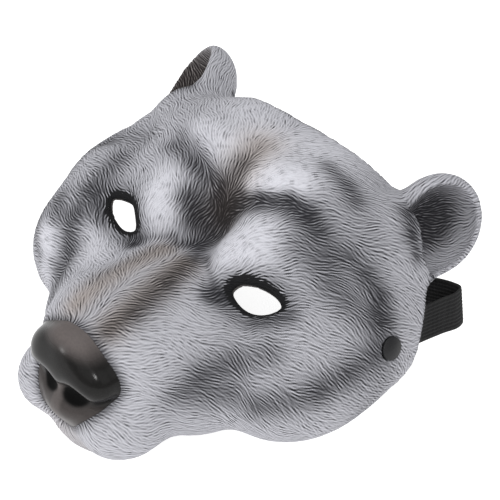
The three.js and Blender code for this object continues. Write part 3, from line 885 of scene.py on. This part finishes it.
def make_shell():
    points, quads = shell_points()
    piece = mesh_object("mask_shell_painted", points, quads)
    thin_inside(piece)
    mesh = piece.data
    points, normals = read_points(mesh), read_normals(mesh)
    face = face_distance(points)
    nose = nose_margin(points)
    eye = eye_ring(points)
    _, scoop = ear_distances(points, face)
    outside = np.maximum(fade("outside", face), fade("ear_hollow", np.abs(scoop)))
    flow = fur_directions(points, normals)
    coat = outside * fade("fur_off_nose", nose) * fade("fur_off_eye", eye)
    height = tuft_heights(points, normals, flow, coat)
    moved = to_part(points + normals * height[:, None])
    mesh.vertices.foreach_set("co", moved.astype(np.float32).ravel())
    mesh.update()
    set_attribute(mesh, "tone", paint_tone(points))
    set_attribute(mesh, "warm", paint_warmth(points))
    set_attribute(mesh, "outside", outside)
    set_attribute(mesh, "nose", nose)
    set_attribute(mesh, "nose_light", nose_light(points))
    set_attribute(mesh, "nostril", nostril_share(points))
    set_attribute(mesh, "eye", eye)
    set_attribute(mesh, "eye_rim", fade("eye_rim", np.abs(eye_margin(points))))
    set_attribute(mesh, "across", np.cross(normals, flow))
    return piece


# Strap and rivets.


def ring_faces(at):
    """Quads between rows of point numbers, where each row goes round in a ring."""
    nxt = np.roll(at, -1, axis=1)
    return np.stack([at[:-1], nxt[:-1], nxt[1:], at[1:]], axis=-1).reshape(-1, 4).tolist()


def strap_stations(place, across):
    """Rows of points from the strap's end at one rivet to the middle of the back, one row per station."""
    sign, y, z = place["sign"], place["y"], place["z"]
    rows = []
    for stop in STRAP_INSIDE:
        _, normal = wall_place(sign, [y + stop["back"]], [z + stop["up"]])
        heights = z + stop["up"] + across * abs(normal[0, 0])
        points, normals = wall_place(sign, np.full(len(across), y + stop["back"]), heights)
        rows.append(points - normals * STRAP_DEPTH)
    for stop in STRAP_BEHIND:
        lean = math.radians(stop["lean"])
        width = np.array([-sign * math.sin(lean), 0, math.cos(lean)])
        rows.append(vec(stop, "x", "y", "z") * (sign, 1, 1) + across[:, None] * width)
    return rows


def make_strap():
    across = np.linspace(-0.5, 0.5, STRAP["across"]) * STRAP["width"]
    left, right = (strap_stations(place, across) for place in RIVET_PLACES)
    stations = np.array(left + right[::-1][1:])
    shares = np.linspace(0, 1, STRAP["steps"] + 1)
    rows = np.stack([smooth_curve(stations[:, i], shares) for i in range(len(across))], axis=1)
    tangent = np.gradient(rows, axis=0)
    through = unit(np.cross(tangent, np.gradient(rows, axis=1)))
    edge = np.abs(across) / (STRAP["width"] / 2)
    past = np.maximum(edge - STRAP["round_from"], 0) / (1 - STRAP["round_from"])
    round_off = np.sqrt(np.maximum(1 - np.square(past), 0))
    rib = STRAP["rib"] * (np.cos(2 * math.pi * STRAP["ribs"] * (across / STRAP["width"] + 0.5)) - 1) / 2
    half = (STRAP["thickness"] / 2 + rib) * np.maximum(round_off, STRAP["edge"])
    front = rows - through * half[None, :, None]
    back = rows + through * half[None, :, None]
    ring = np.concatenate([front, back[:, ::-1]], axis=1)
    steps, round_count = ring.shape[:2]
    at = np.arange(steps * round_count).reshape(steps, round_count)
    faces = ring_faces(at)
    faces.append(at[0, ::-1].tolist())
    faces.append(at[-1].tolist())
    piece = mesh_object("elastic_strap_ribbed", ring.reshape(-1, 3), faces)
    lengths = np.linalg.norm(np.diff(rows[:, len(across) // 2], axis=0), axis=1)
    run = np.concatenate([[0], np.cumsum(lengths)])
    set_attribute(piece.data, "run", np.repeat(run, round_count))
    set_attribute(piece.data, "span", np.tile(np.concatenate([across, across[::-1]]), steps))
    return piece


def lathe(name, profile, origin, own_axes):
    """A turned piece from radius and height pairs, closed on its axis."""
    count = RIVET["segments"]
    turn = np.linspace(0, 2 * math.pi, count, endpoint=False)
    circle = np.column_stack([np.cos(turn), np.sin(turn), np.ones(count)])
    rings = [circle * (radius, radius, height) for radius, height in profile[1:-1]]
    ends = [[0, 0, profile[0][1]], [0, 0, profile[-1][1]]]
    points = np.vstack([ends, *rings]) @ own_axes + origin
    at = np.arange(len(rings) * count).reshape(len(rings), count) + 2
    faces = ring_faces(at)
    faces += [[0, b, a] for a, b in zip(at[0], np.roll(at[0], -1))]
    faces += [[1, a, b] for a, b in zip(at[-1], np.roll(at[-1], -1))]
    return mesh_object(name, points, faces)


def rounded(radius, height, size, start, steps=6):
    """Radius and height pairs of a rounded corner; start is the turn it begins at."""
    turns = start + np.linspace(0, math.pi / 2, steps)
    return [(radius + size * math.cos(t), height + size * math.sin(t)) for t in turns]


def make_rivet(place):
    origin, own_axes = RIVET_FRAMES[place["side"]]
    radius, size = RIVET["cap_radius"], RIVET["rounding"]
    base = RIVET["seat_gap"] - RIVET["seat"]
    back_top = -STRAP_DEPTH - STRAP["thickness"] / 2 - RIVET["strap_bow"] - RIVET["seat_gap"]
    shoulder = base + RIVET["cap_edge"]
    post_end = back_top - RIVET["post_set"]
    cap = [(0, post_end), (RIVET["post_radius"], post_end), (RIVET["post_radius"], base)]
    cap += [(radius - RIVET["bevel"], base), (radius, base + RIVET["bevel"])]
    cap += rounded(radius - size, shoulder, size, 0)
    for share in np.linspace(*RIVET["dome"]):
        rise = (RIVET["cap_rise"] - size) * (1 - (1 - share) ** 2)
        cap.append(((radius - size) * (1 - share), shoulder + size + rise))
    cap.append((0, shoulder + RIVET["cap_rise"]))
    back = RIVET["back_radius"]
    bottom = back_top - RIVET["back_thickness"]
    disc = [(0, bottom)] + rounded(back - size, bottom + size, size, -math.pi / 2)
    disc += rounded(back - size, back_top - size, size, 0)
    disc.append((0, back_top))
    return (
        lathe(f"rivet_cap_{place['side']}_satin", cap, origin, own_axes),
        lathe(f"rivet_back_{place['side']}_satin", disc, origin, own_axes),
    )


# Materials.


class Nodes:
    """Short calls to build one material's nodes."""

    def __init__(self, name):
        self.material = bpy.data.materials.new(name)
        self.material.use_nodes = True
        self.tree = self.material.node_tree
        self.tree.nodes.clear()
        output = self.tree.nodes.new("ShaderNodeOutputMaterial")
        self.shader = self.tree.nodes.new("ShaderNodeBsdfPrincipled")
        self.tree.links.new(self.shader.outputs[0], output.inputs["Surface"])

    def put(self, socket, value):
        if isinstance(value, bpy.types.NodeSocket):
            self.tree.links.new(value, socket)
        else:
            socket.default_value = value

    def node(self, kind, settings=None, **inputs):
        made = self.tree.nodes.new(kind)
        for key, value in (settings or {}).items():
            setattr(made, key, value)
        for key, value in inputs.items():
            self.put(made.inputs[key.replace("_", " ")], value)
        return made

    def shade(self, **inputs):
        for key, value in inputs.items():
            self.put(self.shader.inputs[key.replace("_", " ")], value)

    def attribute(self, name, output="Fac"):
        return self.node("ShaderNodeAttribute", {"attribute_name": name}).outputs[output]

    def place(self):
        return self.node("ShaderNodeTexCoord").outputs["Object"]

    def math(self, operation, *values):
        made = self.node("ShaderNodeMath", {"operation": operation})
        for socket, value in zip(made.inputs, values):
            self.put(socket, value)
        return made.outputs[0]

    def ramp(self, value, low, high, to_low=0.0, to_high=1.0):
        """A smooth step of a value from low to high."""
        made = self.node("ShaderNodeMapRange", {"interpolation_type": "SMOOTHSTEP"}, Value=value)
        for name, number in (("From Min", low), ("From Max", high), ("To Min", to_low), ("To Max", to_high)):
            made.inputs[name].default_value = number
        return made.outputs[0]

    def mix(self, share, a, b, kind="RGBA"):
        made = self.node("ShaderNodeMix", {"data_type": kind})
        sockets = [s for s in made.inputs if s.enabled]
        for socket, value in zip(sockets, (share, a, b)):
            self.put(socket, value)
        return next(s for s in made.outputs if s.enabled)

    def noise(self, scale):
        return self.node("ShaderNodeTexNoise", Vector=self.place(), Scale=scale).outputs["Fac"]

    def bump(self, height, distance):
        return self.node("ShaderNodeBump", Height=height, Distance=distance, Strength=1.0).outputs[0]


# Colours as screen values from 0 to 255.
COLOURS = {
    "coat_dark": (38, 38, 42),
    "coat_pale": (205, 205, 212),
    "warm_dark": (42, 37, 35),
    "warm_pale": (186, 176, 171),
    "eye_ring": (24, 24, 26),
    "inside": (20, 20, 21),
    "eye_cut": (92, 88, 87),
    "nose_dark": (16, 15, 15),
    "nose_dark_pore": (27, 26, 25),
    # the nose's pale top and low front; on the top this is partly painted sheen of the light from above
    "nose_pale_and_sheen": (88, 82, 81),
    "nose_pale_and_sheen_pore": (104, 97, 95),
    "nostril": (4, 4, 4),
    "strap_dark": (11, 11, 12),
    "strap_pale": (32, 32, 33),
    "strap_border": (44, 44, 44),
    "rivet_dark": (22, 22, 24),
    "rivet_pale": (34, 34, 36),
}
FUR = {
    "fine": 2.6,
    "coarse": 5.2,
    "waves": 2.0,
    "coarse_share": 0.25,
    "contrast": 1.6,
    "relief": 1.1,
    "edge_of_nose": 0.4,  # how raggedly the fur ends at the nose
    "edge_of_ring": 6.0,  # how raggedly it ends at the black ring
}
EYE_RING = (3.4, 4.8)  # the black ring gives way to fur between these distances
ROUGH = {"coat": 0.75, "nose": 0.2, "nose_pale_and_sheen": 0.5, "nostril": 0.95}


def colour(name):
    """A named colour in linear light."""
    screen = np.array(COLOURS[name]) / 255
    linear = np.where(screen <= 0.04045, screen / 12.92, ((screen + 0.055) / 1.055) ** 2.4)
    return (*linear.tolist(), 1.0)


def fur_lines(nodes, size):
    """Lines along the fur; size is a line's length."""
    made = nodes.node("ShaderNodeTexGabor", {"gabor_type": "3D"}, Vector=nodes.place())
    made.inputs["Scale"].default_value = 1 / (size * MM)
    made.inputs["Frequency"].default_value = FUR["waves"]
    made.inputs["Anisotropy"].default_value = 1.0
    orientation = next(s for s in made.inputs if s.name == "Orientation" and s.type == "VECTOR")
    nodes.put(orientation, nodes.attribute("across", "Vector"))
    return made.outputs["Value"]


def coat_colour(nodes, lift, outside):
    """The pale coat on its dark ground, with the black eye rings, the eye holes' cut and the bare inside."""
    pale = nodes.ramp(nodes.math("ADD", nodes.attribute("tone"), lift), 0.0, 1.0)
    cool = nodes.mix(pale, colour("coat_dark"), colour("coat_pale"))
    warm = nodes.mix(pale, colour("warm_dark"), colour("warm_pale"))
    coat = nodes.mix(nodes.attribute("warm"), cool, warm)
    eye = nodes.math("MULTIPLY_ADD", lift, FUR["edge_of_ring"], nodes.attribute("eye"))
    coat = nodes.mix(nodes.ramp(eye, *EYE_RING), colour("eye_ring"), coat)
    bare = nodes.mix(nodes.attribute("eye_rim"), colour("inside"), colour("eye_cut"))
    return nodes.mix(nodes.ramp(outside, 0.3, 0.7), bare, coat)


def nose_skin(nodes):
    """Colour and roughness of the nose: dark and shiny, paler and rougher on top and below, black in the
    nostrils; the pale top is partly painted sheen of the light from above.
    """
    pores = nodes.noise(900.0)
    dark = nodes.mix(pores, colour("nose_dark"), colour("nose_dark_pore"))
    pale_and_sheen = nodes.mix(pores, colour("nose_pale_and_sheen"), colour("nose_pale_and_sheen_pore"))
    light = nodes.attribute("nose_light")
    rough = nodes.ramp(light, 0.0, 1.0, ROUGH["nose"], ROUGH["nose_pale_and_sheen"])
    nostril = nodes.attribute("nostril")
    skin = nodes.mix(nostril, nodes.mix(light, dark, pale_and_sheen), colour("nostril"))
    return skin, nodes.mix(nostril, rough, ROUGH["nostril"], "FLOAT")


def painted_foam():
    nodes = Nodes("painted_foam")
    fine = fur_lines(nodes, FUR["fine"])
    coarse = fur_lines(nodes, FUR["coarse"])
    fur = nodes.mix(FUR["coarse_share"], fine, coarse, "FLOAT")
    lift = nodes.math("MULTIPLY", nodes.math("SUBTRACT", fur, 0.5), FUR["contrast"])
    nose = nodes.math("MULTIPLY_ADD", lift, FUR["edge_of_nose"], nodes.attribute("nose"))
    furry = nodes.ramp(nose, 0.0, 0.5)
    outside = nodes.attribute("outside")
    skin, skin_rough = nose_skin(nodes)
    nodes.shade(Base_Color=nodes.mix(furry, skin, coat_colour(nodes, lift, outside)))
    nodes.shade(Roughness=nodes.mix(furry, skin_rough, ROUGH["coat"], "FLOAT"))
    nodes.shade(Specular_IOR_Level=0.16)
    relief = nodes.math("MULTIPLY", nodes.math("MULTIPLY", fur, furry), nodes.ramp(outside, 0.3, 0.9))
    nodes.shade(Normal=nodes.bump(relief, FUR["relief"] * MM))
    return nodes.material


def elastic():
    nodes = Nodes("elastic")
    span = nodes.attribute("span")
    place = nodes.node("ShaderNodeCombineXYZ", X=nodes.attribute("run"), Y=span).outputs[0]
    weave = nodes.node("ShaderNodeTexWave", {"bands_direction": "X"}, Vector=place)
    weave.inputs["Scale"].default_value = 0.45
    weave.inputs["Distortion"].default_value = 1.5
    weave.inputs["Detail Scale"].default_value = 2.0
    shade = nodes.math("MULTIPLY", weave.outputs["Fac"], nodes.noise(2500.0))
    border = nodes.ramp(nodes.math("ABSOLUTE", span), *STRAP["border"])
    base = nodes.mix(shade, colour("strap_dark"), colour("strap_pale"))
    nodes.shade(Base_Color=nodes.mix(border, base, colour("strap_border")))
    nodes.shade(Roughness=0.85, Sheen_Weight=0.05, Specular_IOR_Level=0.2)
    nodes.shade(Normal=nodes.bump(shade, 0.25 * MM))
    return nodes.material


def satin_plastic():
    nodes = Nodes("satin_plastic")
    grain = nodes.noise(1800.0)
    nodes.shade(Base_Color=nodes.mix(grain, colour("rivet_dark"), colour("rivet_pale")))
    nodes.shade(Roughness=nodes.ramp(grain, 0.2, 0.8, 0.34, 0.5), Specular_IOR_Level=0.25)
    nodes.shade(Normal=nodes.bump(grain, 0.05 * MM))
    return nodes.material


# Pieces on the frame.


def dress(piece, material, slot, *nodes):
    piece.data.materials.append(material)
    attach(piece, "root")
    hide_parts(*nodes)


dress(make_shell(), painted_foam(), "painted_foam", "mask_shell")
dress(make_strap(), elastic(), "elastic", "elastic_strap")
SATIN = satin_plastic()
for rivet_place in RIVET_PLACES:
    cap_piece, back_piece = make_rivet(rivet_place)
    dress(cap_piece, SATIN, "rivet_plastic", f"rivet_cap_{rivet_place['side']}")
    dress(back_piece, SATIN, "rivet_plastic", f"rivet_back_{rivet_place['side']}")


# Floor, light and camera.
FLOOR_SIZE = 6.0
SKY = 0.5
CAMERA = {
    "place": (0.3115, -0.30867, 0.4734),
    "looks": (-0.4928, 0.535, -0.6863),
    "lens": 100.8,
    "sensor": 36.0,
    "clip_start": 0.01,
}
LAMPS = table(
    "name x y z size power",
    ("overhead", -0.2, 0.1, 1.3, 1.4, 8),
    ("front", 0.2, -1.2, 0.9, 1.0, 2),
    ("right", 1.2, -0.2, 0.8, 0.9, 2),
    ("glint_left", -0.57, -1.14, 0.3, 0.1, 3),
    ("glint_right", 0.77, -0.83, 0.83, 0.1, 3),
)


def make_floor():
    half = FLOOR_SIZE / 2
    mesh = bpy.data.meshes.new("floor")
    corners = [(-half, -half, 0), (half, -half, 0), (half, half, 0), (-half, half, 0)]
    mesh.from_pydata(corners, [], [(0, 1, 2, 3)])
    floor = bpy.data.objects.new("floor", mesh)
    bpy.context.scene.collection.objects.link(floor)
    nodes = Nodes("floor")
    nodes.shade(Base_Color=(0.6, 0.6, 0.6, 1), Roughness=0.9)
    nodes.shade(Emission_Color=(1, 1, 1, 1), Emission_Strength=0.85)
    mesh.materials.append(nodes.material)


def make_light():
    world = bpy.data.worlds.new("studio")
    bpy.context.scene.world = world
    world.use_nodes = True
    sky = world.node_tree.nodes["Background"]
    sky.inputs["Color"].default_value = (1, 1, 1, 1)
    sky.inputs["Strength"].default_value = SKY
    for row in LAMPS:
        lamp = bpy.data.lights.new(row["name"], "AREA")
        lamp.size = row["size"]
        lamp.energy = row["power"]
        holder = bpy.data.objects.new(row["name"], lamp)
        holder.location = vec(row, "x", "y", "z")
        holder.rotation_euler = (-Vector(holder.location)).to_track_quat("-Z", "Y").to_euler()
        bpy.context.scene.collection.objects.link(holder)


def make_camera():
    data = bpy.data.cameras.new("camera")
    data.lens = CAMERA["lens"]
    data.sensor_width = CAMERA["sensor"]
    data.clip_start = CAMERA["clip_start"]
    camera = bpy.data.objects.new("camera", data)
    camera.location = CAMERA["place"]
    camera.rotation_euler = Vector(CAMERA["looks"]).to_track_quat("-Z", "Y").to_euler()
    bpy.context.scene.collection.objects.link(camera)
    bpy.context.scene.camera = camera


make_floor()
make_light()
make_camera()
bpy.context.scene.view_settings.view_transform = "Standard"
